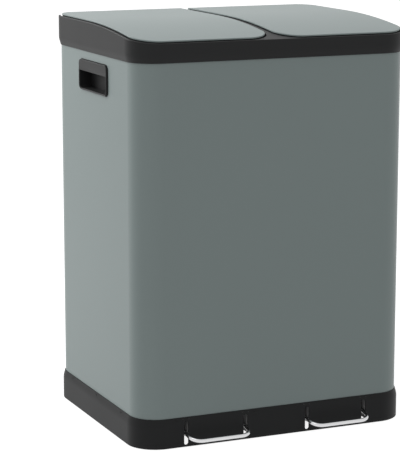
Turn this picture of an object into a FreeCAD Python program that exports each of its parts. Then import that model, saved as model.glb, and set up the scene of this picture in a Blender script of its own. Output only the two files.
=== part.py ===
"""Double recycling bin: a steel body between a moulded base and collar, two pedal lids, two inner buckets.

The model's origin is the middle of the overall box at floor level, +X to the right seen from the front,
+Y to the back and +Z up. Sketches are drawn about the middle of the casing, and each piece is then
placed half the pedals' reach further back. Left-hand pieces are drawn, right-hand ones mirror them.
"""
import FreeCAD, Part
import math
import os
import re
from collections import namedtuple

import Sketcher
from FreeCAD import Vector

# ---------------------------------------------------------------------------- driving dimensions (mm, degrees)

DIMENSIONS = (
    # casing
    ("width", 470, "overall width of base and collar"),
    ("depth", 380, "overall depth of base and collar"),
    ("height", 648, "top of the closed lids at the back"),
    ("corner_radius", 47.5, "upright corners of base and collar"),
    ("shoulder_rise", 10, "height of the sloping shoulder where base and collar meet the body"),
    ("shoulder_inset", 2.9, "how far that shoulder slopes in"),
    ("shoulder_blend", 25, "rounding between shoulder and upright wall"),
    ("body_inset", 4.1, "body sheet set in from the base's and collar's faces"),
    ("sheet", 0.6, "thickness of the body's steel sheet"),
    ("seam_width", 14, "lock seam down the back of the sheet"),
    ("seam_proud", 0.5, "how far that seam stands out"),
    ("sheet_gap", 0.1, "play between the sheet and the mouldings it enters"),
    ("seat_gap", 0.3, "play between pieces that rest on each other"),
    ("slip", 0.05, "radial play of pins and axles in their holes"),
    # base
    ("base_height", 48, "top of the base's shoulder"),
    ("ground_gap", 1, "lower edge of the base above the floor"),
    ("base_wall", 2.5, "wall of the base"),
    ("base_rounding", 1, "lower outer edge of the base"),
    ("floor_drop", 1.5, "floor that the buckets stand on, below the base's shoulder"),
    ("floor_wall", 2.5, "thickness of that floor"),
    ("groove_depth", 5.5, "depth of the groove that holds the sheet, under the base's top"),
    ("groove_web", 2, "wall under that groove"),
    ("groove_ring", 3.7, "width of the thick ring inside the groove"),
    ("rib_wall", 2.5, "ribs under the floor"),
    ("rib_bottom", 3, "lower edge of those ribs"),
    ("rib_inner", 38, "inner axle rib from the middle"),
    ("rib_side", 64, "outer axle rib in from the casing's side"),
    ("cross_rib_pitch", 110, "spacing of the cross ribs"),
    ("slot_width", 7.3, "pedal slots"),
    ("slot_bottom", 4, "lower end of the pedal slots"),
    ("slot_drop", 6.5, "upper end of the pedal slots, below the base's shoulder"),
    ("ridge_height", 6, "ridge on the floor between the buckets"),
    ("ridge_wall", 3, "thickness of that ridge"),
    ("rod_boss_radius", 7, "collar on the floor round each push rod"),
    ("rod_boss_height", 12, "its height over the floor"),
    ("foot_side", 45, "feet in from the casing's sides"),
    ("foot_face", 47, "feet in from the casing's front and back"),
    ("foot_radius", 12, "rubber feet"),
    ("foot_sink", 2.3, "how deep a foot sits in its boss"),
    ("foot_boss_wall", 2.2, "wall of the boss round a foot"),
    ("foot_proud", 2, "how far a foot stands below its boss"),
    # pedals and levers
    ("arm_margin", 15.85, "pedal arms in from the axle ribs"),
    ("wire_radius", 3, "pedal wire"),
    ("pedal_reach", 28, "pedals in front of the base"),
    ("pedal_bar_z", 15.75, "centre of the pedal's cross bar above the floor"),
    ("pedal_bend", 18, "bends between cross bar and arms"),
    ("knee_depth", 7, "where the arms bend down, behind the base's face"),
    ("knee_bend", 20, "radius of that bend"),
    ("axle_z", 24, "lever axle above the floor"),
    ("axle_depth", 90, "lever axle behind the base's face"),
    ("axle_radius", 4, "lever axle"),
    ("axle_boss_radius", 8, "bosses round the axle on ribs and lever"),
    ("axle_boss_length", 4, "bosses on the ribs"),
    ("axle_overhang", 7, "axle past its ribs"),
    ("clip_wall", 1.2, "push-on washers"),
    ("clip_radius", 8, "outside of those washers"),
    ("pedal_swing", 6, "travel of the pedals, degrees"),
    ("socket_depth", 22, "how deep the pedal wire sits in the lever"),
    ("socket_size", 12, "outside of the lever's sockets"),
    ("lever_width", 16, "width of the lever's arm"),
    ("lever_flange", 2.5, "flanges of the lever's arm"),
    ("lever_web", 8, "web of the lever's arm, across"),
    ("lever_pocket_start", 4, "pockets beside that web, behind the hub"),
    ("lever_pocket_end", 6, "the same pockets, ahead of the rod's eye"),
    ("socket_rounding", 2, "corners of the sockets"),
    ("socket_rear", 1, "gap between a socket's rear end and the axle"),
    ("eye_wall", 2.5, "wall round the pins at both ends of the push rod"),
    ("pin_radius", 2.5, "pins at both ends of the push rod"),
    # push rod
    ("rod_radius", 3, "push rod"),
    ("foot_eye_half_length", 8, "rod's lower eye, front to back"),
    ("foot_eye_half_height", 6.3, "rod's lower eye, up and down"),
    ("top_eye_half_length", 9.5, "rod's upper eye, front to back"),
    ("top_eye_half_height", 6.3, "rod's upper eye, up and down"),
    ("eye_play", 0.15, "up and down play in the lower eye"),
    ("lift_play", 0.6, "up and down play in the upper eye, where the linkage is open"),
    ("cheek_gap", 0.5, "side play between a rod's eye and the cheeks beside it"),
    ("tongue", 4, "thickness of the rod's eyes"),
    ("eye_rounding", 2, "corners of those eyes"),
    ("rod_root", 0.5, "how far the rod reaches into its eyes"),
    ("slot_play", 0.8, "play along the slots in the rod's eyes and round the linkage"),
    ("guide_length", 22, "rod guide under the shelf"),
    ("guide_flange_x", 40, "flange of the guide, sideways"),
    ("guide_flange_y", 18, "flange of the guide, front to back"),
    ("guide_flange_wall", 3, "thickness of that flange"),
    ("guide_flange_rounding", 4, "its corners"),
    ("guide_wall", 3, "wall of the guide's tube"),
    ("guide_play", 0.2, "radial play of the rod in its guides"),
    ("screw_spacing", 28, "two screws of a guide, apart"),
    ("screw_radius", 1.8, "their shanks"),
    ("screw_head_radius", 3.5, "their heads"),
    ("screw_head_height", 2.2, "height of their heads"),
    ("screw_boss_height", 5, "bosses on the shelf that take them"),
    ("screw_boss_wall", 2, "wall of those bosses"),
    ("screw_boss_roof", 1.2, "closed top of those bosses"),
    ("screw_end_gap", 0.5, "gap between a screw's end and that top"),
    # collar
    ("collar_drop", 50, "lower edge of the collar, below the lids' surface"),
    ("sheet_drop", 36, "step in the collar that the sheet's upper edge meets, below the lids' surface"),
    ("collar_wall", 6.5, "collar wall above the sheet"),
    ("rim_wall", 3, "collar rim round the lids"),
    ("rim_drop", 3, "collar rim below the lids' surface"),
    ("rim_rounding", 1.2, "outer edge of that rim"),
    ("back_rim_drop", 9.5, "rim behind the hinges, below the lids' surface"),
    ("back_rim_start", 4, "where that lower rim starts, ahead of the hinge axis"),
    ("back_recess_corner", 42, "outer back corners of the lids' recesses"),
    ("ledge_drop", 13, "ledge under the lids, below the lids' surface"),
    ("ledge_wall", 3, "thickness of that ledge"),
    ("bend_y", 30, "lids are flat behind this line and curve down in front of it"),
    ("lid_radius", 1405, "radius of that curve"),
    ("divider", 9.6, "bar between the lids"),
    ("lid_corner", 41, "front corners of the lids beside the bar"),
    ("lid_back_corner", 4, "back corners of the lids beside the bar"),
    ("opening_side", 23, "bucket opening in from the casing's side"),
    ("opening_front", 12, "bucket opening in from the casing's front"),
    ("opening_back", 47.5, "bucket opening in from the casing's back"),
    ("opening_middle", 11, "bucket opening from the middle"),
    ("opening_radius", 32, "corners of the bucket openings"),
    ("skirt_wall", 2.5, "skirts round the bucket openings"),
    ("skirt_drop", 48, "lower edge of those skirts, below the lids' surface"),
    ("shelf_drop", 28, "shelf behind the bucket openings, below the lids' surface"),
    ("shelf_wall", 3, "thickness of that shelf"),
    # lids
    ("lid_gap", 2.5, "gap round the lids"),
    ("hinge_drop", 7, "hinge axis below the lids' surface and in from their back edge"),
    ("hinge_pin_radius", 1.6, "hinge pins"),
    ("ear_radius", 3.4, "ends of the ears round the hinge pins"),
    ("lid_swing", 80, "opening angle of the lids, degrees"),
    ("panel", 0.8, "lid skins"),
    ("panel_edge", 2, "depth of the skins' turned-down edge"),
    ("roll_ease", 0.28, "centre of the skins' roll at the back, in from the hinge axis and below it"),
    ("frame_gap", 0.3, "play between skin and lid body"),
    ("frame_wall", 1.8, "walls of the lid body"),
    ("rib_first", 62, "inner rib under a lid from the middle"),
    ("rib_last", 61, "outer one in from the casing's side"),
    ("lid_rib_pitch", 56, "spacing of the ribs across a lid"),
    ("lid_rib", 2, "ribs under the lids"),
    ("lid_rib_depth", 6, "depth of those ribs"),
    ("barrel_radius", 4.2, "hinge barrels"),
    ("barrel_length", 18, "hinge barrels, along the axis"),
    ("barrel_play", 0.5, "end play of the barrels"),
    ("hinge_ear", 6, "ears beside the barrels"),
    ("hinge_inner", 48, "inner hinge from the middle"),
    ("hinge_side", 67, "outer hinge in from the casing's side"),
    ("ear_leg", 7.5, "leg of an ear, front to back"),
    ("ear_back", 5.5, "back of that leg in front of the axis"),
    ("lug_wall", 3, "cheeks of the lifting lug"),
    ("lug_front", 22, "front of the lug ahead of the hinge axis"),
    # side handles
    ("grip_length", 124, "hand hole in the sheet, front to back"),
    ("grip_height", 50, "hand hole, up and down"),
    ("grip_drop", 113, "lower edge of the hand hole, below the lids' surface"),
    ("grip_radius", 9, "corners of the hand hole"),
    ("grip_gap", 1, "gap between the hole's edge and the grip"),
    ("grip_proud", 2, "how far the grip stands out of the sheet"),
    ("grip_rounding", 1, "outer edge of the grip"),
    ("grip_wall", 2.5, "walls of the grip"),
    ("grip_plate", 20, "height of the closed upper plate"),
    ("grip_plate_wall", 3, "thickness of that plate"),
    ("grip_flange", 5, "flange behind the sheet"),
    ("grip_flange_wall", 2, "thickness of that flange"),
    ("grip_scoop", 21, "depth of the finger scoop behind the plate"),
    ("grip_sill", 7.5, "height of the sloping sill"),
    ("grip_sill_depth", 11, "depth of that slope"),
    # buckets
    ("bucket_drop", 44, "rim of the buckets, below the lids' surface"),
    ("bucket_wall", 2, "walls of the buckets"),
    ("bucket_play", 2.5, "gap between a bucket's rim and its opening"),
    ("bucket_lip", 4, "rim of a bucket, outwards"),
    ("bucket_lip_wall", 3, "thickness of that rim"),
    ("bucket_lip_depth", 8, "turned-down edge of that rim"),
    ("bucket_rounding", 0.8, "edges of that rim's top"),
    ("bucket_taper", 10, "how much the buckets narrow to the bottom, each side"),
    ("bucket_radius", 28, "corners of the buckets at the top"),
    ("hand_hole_length", 86, "hand holes in the buckets' front and back walls"),
    ("hand_hole_height", 24, "height of those hand holes"),
    ("hand_hole_drop", 14, "hand holes below the bucket's rim"),
    ("hand_hole_rounding", 10.8, "corners of the hand holes"),
)

# Places that follow from the driving dimensions. Each may use the ones above it.
PLACES = {
    "side": "width / 2",
    "face": "depth / 2",
    "collar_bottom": "height - collar_drop",
    "sheet_top": "height - sheet_drop",
    "skirt_bottom": "height - skirt_drop",
    "shelf_top": "height - shelf_drop",
    "bucket_top": "height - bucket_drop",
    "grip_bottom": "height - grip_drop",
    "foot_x": "side - foot_side",
    "foot_y": "face - foot_face",
    "rib_outer": "side - rib_side",
    "pedal_centre": "(rib_inner + rib_outer) / 2",
    "pedal_half": "(rib_outer - rib_inner) / 2 - arm_margin",
    "hinge_outer": "side - hinge_side",
    "rib_third": "side - rib_last",
    "rib_second": "(rib_first + rib_third) / 2",
    "groove_floor": "base_height - groove_depth",
    "floor_top": "base_height - floor_drop",
    "floor_bottom": "floor_top - floor_wall",
    "slot_top": "base_height - slot_drop",
    "sheet_out": "body_inset",
    "sheet_in": "body_inset + sheet",
    "lip": "body_inset - sheet_gap",
    "lid_side": "side - rim_wall - lid_gap",
    "lid_face": "face - rim_wall - lid_gap",
    "lid_middle": "divider / 2 + lid_gap",
    "hinge_y": "lid_face - hinge_drop",
    "hinge_z": "height - hinge_drop",
    "pivot_y": "axle_depth - face",
    "link": "sin(pedal_swing / 2) / sin(lid_swing / 2) * (1 + cos(lid_swing / 2)) / (1 + cos(pedal_swing / 2))",
    "rod_y": "(hinge_y + link * pivot_y) / (1 + link)",
    "lever_reach": "2 * (rod_y - pivot_y) / (1 + cos(pedal_swing / 2))",
    "lug_reach": "lever_reach * sin(pedal_swing / 2) / sin(lid_swing / 2)",
    "foot_pin_y": "pivot_y + lever_reach * cos(pedal_swing / 2)",
    "foot_pin_z": "axle_z - lever_reach * sin(pedal_swing / 2)",
    "lift_pin_y": "hinge_y - lug_reach * cos(lid_swing / 2)",
    "lift_pin_z": "hinge_z - lug_reach * sin(lid_swing / 2)",
    "mech_front": "face - opening_back + skirt_wall",
    "grip_face": "side - body_inset + grip_proud",
    "lug_half": "tongue / 2 + cheek_gap + lug_wall",
}

Circle = namedtuple("Circle", "x y radius")
TINY = 1e-4
FIT = 0.02
RIBS = ("(0 - rib_outer)", "(0 - rib_inner)", "rib_inner", "rib_outer")
CENTRES = ("(0 - pedal_centre)", "pedal_centre")
ARMS = ("(0 - pedal_centre - pedal_half)", "(pedal_half - pedal_centre)",
        "(pedal_centre - pedal_half)", "(pedal_centre + pedal_half)")
FEET = (("(0 - foot_x)", "(0 - foot_y)"), ("foot_x", "(0 - foot_y)"), ("foot_x", "foot_y"),
        ("(0 - foot_x)", "foot_y"))
HINGES = ("(0 - hinge_outer)", "(0 - hinge_inner)")
SCREWS = ("(0 - pedal_centre - screw_spacing / 2)", "(screw_spacing / 2 - pedal_centre)")

doc = FreeCAD.newDocument("double_recycling_bin")
dims = doc.addObject("Spreadsheet::Sheet", "dims")
for row, (alias, size, meaning) in enumerate(DIMENSIONS, start=1):
    dims.set(f"A{row}", meaning)
    dims.set(f"B{row}", str(size))
    dims.setAlias(f"B{row}", alias)
doc.recompute()

ALIASES = {alias for alias, _, _ in DIMENSIONS}
WORD = re.compile(r"[a-z_]+")
SUBPARTS = []


# ---------------------------------------------------------------------------- formulas and sketches

def formula(text):
    """Writes a formula on the sheet's aliases and the places above as an expression."""
    def spell(match):
        word = match.group(0)
        if word in PLACES:
            return "(" + formula(PLACES[word]) + ")"
        return "dims." + word if word in ALIASES else word
    return WORD.sub(spell, str(text))


def value(text):
    """The present size of a formula."""
    return float(dims.evalExpression(formula(text)))


def lid_z(y, drop):
    """Height of the lids' curve at y, drop below their surface."""
    return f"(height - lid_radius + sqrt((lid_radius - ({drop}))^2 - (bend_y - ({y}))^2))"


def new_body(name):
    """A body whose features are drawn about the middle of the casing."""
    body = doc.addObject("PartDesign::Body", name)
    body.AllowCompound = True
    return body


def new_sketch(body, plane, level="0"):
    """A sketch parallel to one of the body's origin planes, at a level along +X, -Y or +Z."""
    sketch = body.newObject("Sketcher::SketchObject", body.Name + "_sketch")
    origin = [o for o in body.Origin.OriginFeatures if o.Role == plane + "_Plane"][0]
    sketch.AttachmentSupport = [(origin, "")]
    sketch.MapMode = "FlatFace"
    sketch.setExpression("AttachmentOffset.Base.z", formula(level))
    return sketch


def bind(sketch, kind, where, text):
    """Adds a driving constraint of that kind and ties it to a formula."""
    index = sketch.addConstraint(Sketcher.Constraint(kind, *where, value(text)))
    sketch.setExpression(f"Constraints[{index}]", formula(text))


def pin_down(sketch, geometry, vertex, x, y):
    """Holds a vertex at x, y from the sketch's origin."""
    bind(sketch, "DistanceX", (-1, 1, geometry, vertex), x)
    bind(sketch, "DistanceY", (-1, 1, geometry, vertex), y)


def add_arc(sketch, centre, radius, start, end, clockwise):
    """Adds an arc and returns its number and the vertices where it starts and ends."""
    first, last = (end, start) if clockwise else (start, end)
    angles = [math.atan2(p.y - centre.y, p.x - centre.x) for p in (first, last)]
    circle = Part.Circle(centre, Vector(0, 0, 1), radius)
    number = sketch.addGeometry(Part.ArcOfCircle(circle, *angles), False)
    return (number, 2, 1) if clockwise else (number, 1, 2)


def draw(sketch, corners):
    """Draws a closed outline. A corner is (x, y), (x, y, rounding) or (x, y, "arc", centre x, centre y, turn):
    the last kind leaves along an arc, clockwise where its turn is -1."""
    spots = [Vector(value(c[0]), value(c[1]), 0) for c in corners]
    count = len(corners)
    leave, reach = list(spots), list(spots)
    blends = {}
    for i, corner in enumerate(corners):
        if len(corner) != 3:
            continue
        back = (spots[i - 1] - spots[i]).normalize()
        ahead = (spots[(i + 1) % count] - spots[i]).normalize()
        half = back.getAngle(ahead) / 2
        radius = value(corner[2])
        reach[i] = spots[i] + back * (radius / math.tan(half))
        leave[i] = spots[i] + ahead * (radius / math.tan(half))
        centre = spots[i] + (back + ahead).normalize() * (radius / math.sin(half))
        blends[i] = (centre, radius, back.cross(ahead).z > 0)
    edges = []
    for i, corner in enumerate(corners):
        start, end = leave[i], reach[(i + 1) % count]
        if len(corner) == 6:
            centre = Vector(value(corner[3]), value(corner[4]), 0)
            edges.append(add_arc(sketch, centre, (start - centre).Length, start, end, corner[5] < 0))
        else:
            edges.append((sketch.addGeometry(Part.LineSegment(start, end), False), 1, 2))
    for i, corner in enumerate(corners):
        before, after = edges[i - 1], edges[i]
        if i not in blends:
            sketch.addConstraint(Sketcher.Constraint("Coincident", before[0], before[2], after[0], after[1]))
            pin_down(sketch, after[0], after[1], corner[0], corner[1])
            continue
        centre, radius, clockwise = blends[i]
        arc = add_arc(sketch, centre, radius, reach[i], leave[i], clockwise)
        sketch.addConstraint(Sketcher.Constraint("Tangent", before[0], before[2], arc[0], arc[1]))
        sketch.addConstraint(Sketcher.Constraint("Tangent", arc[0], arc[2], after[0], after[1]))
        bind(sketch, "Radius", (arc[0],), corner[2])
        tip = sketch.addGeometry(Part.Point(spots[i]), True)
        pin_down(sketch, tip, 1, corner[0], corner[1])
        sketch.addConstraint(Sketcher.Constraint("PointOnObject", tip, 1, before[0]))
        sketch.addConstraint(Sketcher.Constraint("PointOnObject", tip, 1, after[0]))
    for i, corner in enumerate(corners):
        if len(corner) == 6:
            chord = spots[(i + 1) % count] - spots[i]
            kind, place = ("DistanceY", corner[4]) if abs(chord.x) > abs(chord.y) else ("DistanceX", corner[3])
            bind(sketch, kind, (-1, 1, edges[i][0], 3), place)


def draw_circle(sketch, circle):
    """Draws a circle."""
    centre = Vector(value(circle.x), value(circle.y), 0)
    number = sketch.addGeometry(Part.Circle(centre, Vector(0, 0, 1), value(circle.radius)), False)
    pin_down(sketch, number, 3, circle.x, circle.y)
    bind(sketch, "Radius", (number,), circle.radius)


# ---------------------------------------------------------------------------- outlines

def rectangle(x_low, y_low, x_high, y_high, *rounding):
    """Corners of a rectangle from the lowest round, all with the same rounding if one is given."""
    return [(x_low, y_low, *rounding), (x_high, y_low, *rounding),
            (x_high, y_high, *rounding), (x_low, y_high, *rounding)]


def casing(inset):
    """The casing's outline in plan, set in."""
    return rectangle(f"({inset}) - side", f"({inset}) - face", f"side - ({inset})", f"face - ({inset})",
                     f"corner_radius - ({inset})")


def lid_plan(inset, back_corner=None):
    """The left lid's outline in plan, set in, or set out for its recess where the inset is negative."""
    left, right = f"({inset}) - lid_side", f"0 - lid_middle - ({inset})"
    front, back = f"({inset}) - lid_face", f"lid_face - ({inset})"
    outer = f"corner_radius - rim_wall - lid_gap - ({inset})"
    return [(left, front, outer), (right, front, f"lid_corner - ({inset})"),
            (right, back, f"lid_back_corner - ({inset})"), (left, back, back_corner or outer)]


def opening(outset):
    """The left bucket opening's outline in plan, set out."""
    return rectangle(f"opening_side - side - ({outset})", f"opening_front - face - ({outset})",
                     f"({outset}) - opening_middle", f"face - opening_back + ({outset})",
                     f"opening_radius + ({outset})")


def upright_slot(x, low, high, radius):
    """A slot with round ends, upright in its sketch."""
    return [(f"{x} + {radius}", low), (f"{x} + {radius}", high, "arc", x, high, 1),
            (f"{x} - {radius}", high), (f"{x} - {radius}", low, "arc", x, low, 1)]


def level_slot(y, z, half_length, radius):
    """A slot with round ends, level in its sketch. The half length is measured to its ends."""
    far = f"({half_length}) - ({radius})"
    return [(f"{y} - ({far})", f"{z} - ({radius})"),
            (f"{y} + {far}", f"{z} - ({radius})", "arc", f"{y} + {far}", z, 1),
            (f"{y} + {far}", f"{z} + {radius}"),
            (f"{y} - ({far})", f"{z} + {radius}", "arc", f"{y} - ({far})", z, 1)]


def lid_profile(front, back, top, bottom):
    """Side view, Y and Z, of what lies under the lids' curve. Top is a drop below the lids' surface, and bottom
    is a list of corners from front to back, or a drop."""
    low = bottom
    if not isinstance(bottom, list):
        low = [(front, lid_z(front, bottom), "arc", "bend_y", "height - lid_radius", -1),
               ("bend_y", f"height - ({bottom})"), (back, f"height - ({bottom})")]
    return low + [(back, f"height - ({top})"),
                  ("bend_y", f"height - ({top})", "arc", "bend_y", "height - lid_radius", 1),
                  (front, lid_z(front, top))]


def flat_bottom(front, back, level):
    """Bottom corners of a lid profile at one level."""
    return [(front, level), (back, level)]


# ---------------------------------------------------------------------------- features

def extrude(body, kind, plane, level, length, outlines):
    """Pads or pockets outlines drawn at a level."""
    sketch = new_sketch(body, plane, level)
    for outline in outlines:
        if isinstance(outline, Circle):
            draw_circle(sketch, outline)
        else:
            draw(sketch, outline)
    feature = body.newObject("PartDesign::" + kind, f"{body.Name}_{kind.lower()}")
    feature.Profile = sketch
    feature.setExpression("Length", formula(length))
    return feature


def add(body, plane, low, high, *outlines):
    """Adds outlines between two places along the axis square to the plane."""
    level = f"0 - ({high})" if plane == "XZ" else low
    return extrude(body, "Pad", plane, level, f"({high}) - ({low})", outlines)


def cut(body, plane, low, high, *outlines):
    """Cuts outlines away between two places along the axis square to the plane."""
    level = f"0 - ({low})" if plane == "XZ" else high
    return extrude(body, "Pocket", plane, level, f"({high}) - ({low})", outlines)


def edges_of(shape, chosen):
    """Names of a shape's edges that pass a test."""
    return [f"Edge{number}" for number, edge in enumerate(shape.Edges, start=1) if chosen(edge)]


def in_plane(axis, place):
    """A test for edges that lie in one plane square to an axis."""
    where = value(place)
    return lambda edge: all(abs(getattr(edge.BoundBox, axis + end) - where) < TINY for end in ("Min", "Max"))


def round_the_top(drop):
    """A test for the edges that run round a piece whose top follows the lids' curve at that drop."""
    bend = value("bend_y")

    def chosen(edge):
        spots = edge.discretize(Number=5)
        across = all(abs(p.y - bend) < TINY for p in spots)
        return not across and all(abs(p.z - value(lid_z(min(p.y, bend), drop))) < FIT for p in spots)
    return chosen


def blend(body, chosen, radius):
    """Rounds the chosen edges of a body's last feature."""
    doc.recompute()
    tip = body.Tip
    feature = body.newObject("PartDesign::Fillet", body.Name + "_fillet")
    feature.Base = (tip, edges_of(tip.Shape, chosen))
    feature.setExpression("Radius", formula(radius))
    return feature


def slope_shoulder(body, edge_level, wall_level):
    """Slopes the outer edge at one level inwards, and rounds the slope into the upright wall."""
    doc.recompute()
    tip = body.Tip
    feature = body.newObject("PartDesign::Chamfer", body.Name + "_shoulder")
    feature.Base = (tip, edges_of(tip.Shape, in_plane("Z", edge_level)))
    feature.ChamferType = "Two distances"
    feature.setExpression("Size", formula("shoulder_inset"))
    feature.setExpression("Size2", formula("shoulder_rise"))
    doc.recompute()
    corner = value("side") - value("shoulder_inset")
    ends = [v.X for v in feature.Shape.Vertexes if abs(v.Z - value(edge_level)) < TINY]
    feature.FlipDirection = abs(max(ends) - corner) > TINY
    blend(body, in_plane("Z", wall_level), "shoulder_blend")


def curved_tool(name, outline, x_low, x_high, profile):
    """A body with that side profile, trimmed to an outline in plan."""
    body = new_body(name)
    add(body, "YZ", x_low, x_high, profile)
    around = rectangle(f"({x_low}) - 1", "0 - depth", f"({x_high}) + 1", "depth")
    cut(body, "XY", "0", "2 * height", around, outline)
    return body


def join(name, *pieces):
    """Fuses pieces."""
    fused = doc.addObject("Part::MultiFuse", name)
    fused.Shapes = list(pieces)
    return fused


def carve(name, base, *tools):
    """Cuts tools out of a piece."""
    result = doc.addObject("Part::Cut", name)
    result.Base = base
    result.Tool = tools[0] if len(tools) == 1 else join(name + "_tools", *tools)
    return result


def mirrored(source, name):
    """The right-hand copy of a left-hand piece."""
    twin = doc.addObject("Part::Mirroring", name)
    twin.Source = source
    twin.Normal = Vector(1, 0, 0)
    return twin


def keep(piece, label):
    """Labels a finished piece and sets it in its place. A mirrored piece follows its source."""
    piece.Label = label
    if piece.TypeId != "Part::Mirroring":
        piece.setExpression("Placement.Base.y", formula("pedal_reach / 2"))
    SUBPARTS.append(piece)
    return piece


def keep_pair(piece, name):
    """Keeps a left-hand piece and its right-hand copy."""
    keep(piece, name + "_left")
    keep(mirrored(piece, name + "_right"), name + "_right")


# ---------------------------------------------------------------------------- casing

def make_base():
    """The moulded base: a skirted tray with a groove for the sheet, axle ribs and pedal slots."""
    body = new_body("base")
    add(body, "XY", "ground_gap", "base_height", casing("0"))
    slope_shoulder(body, "base_height", "base_height - shoulder_rise")
    blend(body, in_plane("Z", "ground_gap"), "base_rounding")
    cut(body, "XY", "floor_top", "base_height", casing("lip"))
    cut(body, "XY", "ground_gap", "floor_bottom", casing("sheet_in + seat_gap + groove_ring"))
    cut(body, "XY", "ground_gap", "groove_floor - groove_web", casing("base_wall"))
    rib_top, reach = "floor_top - floor_wall / 2", "face - base_wall / 2"
    ribs = [rectangle(f"{x} - rib_wall / 2", f"0 - ({reach})", f"{x} + rib_wall / 2", reach) for x in RIBS]
    add(body, "XY", "rib_bottom", rib_top, *ribs)
    spans = (("0 - rib_inner", "rib_inner"), ("rib_outer", "side - base_wall / 2"),
             ("base_wall / 2 - side", "0 - rib_outer"))
    rows = ("0 - cross_rib_pitch", "0", "cross_rib_pitch")
    crossings = [rectangle(a, f"{y} - rib_wall / 2", b, f"{y} + rib_wall / 2") for a, b in spans for y in rows]
    add(body, "XY", "rib_bottom", rib_top, *crossings)
    cut(body, "XY", "groove_floor", "floor_top", casing("lip"), casing("sheet_in + seat_gap"))
    for x in RIBS:
        boss = "(rib_wall / 2 + axle_boss_length)"
        add(body, "YZ", f"{x} - {boss}", f"{x} + {boss}", Circle("pivot_y", "axle_z", "axle_boss_radius"))
    cut(body, "YZ", "1 - side", "side - 1", Circle("pivot_y", "axle_z", "axle_radius + slip"))
    slots = [upright_slot(x, "slot_bottom + slot_width / 2", "slot_top - slot_width / 2", "slot_width / 2")
             for x in ARMS]
    cut(body, "XZ", "0 - face - 1", "1 - face + sheet_in + seat_gap + groove_ring", *slots)
    add(body, "XY", rib_top, "floor_top + ridge_height",
        rectangle("0 - ridge_wall / 2", "opening_radius + opening_front - face", "ridge_wall / 2", "mech_front"))
    add(body, "XY", rib_top, "floor_top + rod_boss_height",
        *[Circle(x, "rod_y", "rod_boss_radius") for x in CENTRES])
    cut(body, "XY", "floor_bottom", "floor_top + rod_boss_height",
        *[Circle(x, "rod_y", "rod_radius + guide_play") for x in CENTRES])
    add(body, "XY", "foot_proud", rib_top,
        *[Circle(x, y, "foot_radius + guide_play + foot_boss_wall") for x, y in FEET])
    cut(body, "XY", "foot_proud", "foot_proud + foot_sink",
        *[Circle(x, y, "foot_radius + guide_play") for x, y in FEET])
    return keep(body, "base")


def make_feet():
    """Four rubber discs in their bosses."""
    body = new_body("feet")
    add(body, "XY", "0", "foot_proud + foot_sink - seat_gap", *[Circle(x, y, "foot_radius") for x, y in FEET])
    return keep(body, "feet")


def make_body_shell():
    """The steel sheet, one wrap with a lock seam at the back and a hand hole in each side."""
    body = new_body("body_shell")
    add(body, "XY", "groove_floor + seat_gap", "sheet_top - seat_gap", casing("sheet_out"), casing("sheet_in"))
    add(body, "XY", "base_height + seat_gap", "collar_bottom - seat_gap",
        rectangle("0 - seam_width / 2", "face - sheet_out - sheet / 2", "seam_width / 2",
                  "face - sheet_out + seam_proud"))
    cut(body, "YZ", "0 - side", "side", grip_outline("0"))
    return keep(body, "body_shell")


def grip_outline(inset):
    """Outline of the hand hole, set in."""
    return rectangle(f"({inset}) - grip_length / 2", f"grip_bottom + ({inset})",
                     f"grip_length / 2 - ({inset})", f"grip_bottom + grip_height - ({inset})",
                     f"grip_radius - ({inset})")


def bow(x, half_length, rise):
    """A bow in plan: a chord at x, and an arc that stands inwards from it by rise."""
    radius = f"((({half_length})^2 + ({rise})^2) / (2 * ({rise})))"
    return [(x, f"0 - ({half_length})", "arc", f"{x} + ({rise}) - {radius}", "0", 1), (x, half_length)]


def make_grips():
    """The moulded finger grips: a closed plate above, and below it a bowed scoop with a sloping sill."""
    body = new_body("handle_left")
    mouth_x = "(0 - grip_face + grip_plate_wall)"
    half = "(grip_length / 2 - grip_gap - grip_wall)"
    low, high = "grip_bottom + grip_gap", "grip_bottom + grip_height - grip_gap"
    add(body, "YZ", "0 - grip_face", "grip_flange_wall + sheet_in + sheet_gap - side", grip_outline("grip_gap"))
    blend(body, in_plane("X", "0 - grip_face"), "grip_rounding")
    add(body, "XY", low, high,
        bow("sheet_in + sheet_gap - side", f"{half} + grip_wall", "grip_scoop + grip_wall"))
    add(body, "YZ", "sheet_in + sheet_gap - side", "grip_flange_wall + sheet_in + sheet_gap - side",
        grip_outline("0 - grip_flange"))
    floor_z = f"{low} + grip_wall + grip_sill"
    cut(body, "XY", floor_z, f"{high} - grip_wall", bow(mouth_x, half, "grip_scoop"))
    cut(body, "YZ", "0 - grip_face", mouth_x,
        rectangle(f"0 - {half}", floor_z, half, f"{high} - grip_plate"))
    cut(body, "XZ", f"0 - {half}", half,
        [("0 - grip_face - 1", f"{low} + grip_wall"), ("0 - grip_face", f"{low} + grip_wall"),
         ("grip_sill_depth - grip_face", floor_z), ("0 - grip_face - 1", floor_z)])
    keep_pair(body, "handle")


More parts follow.
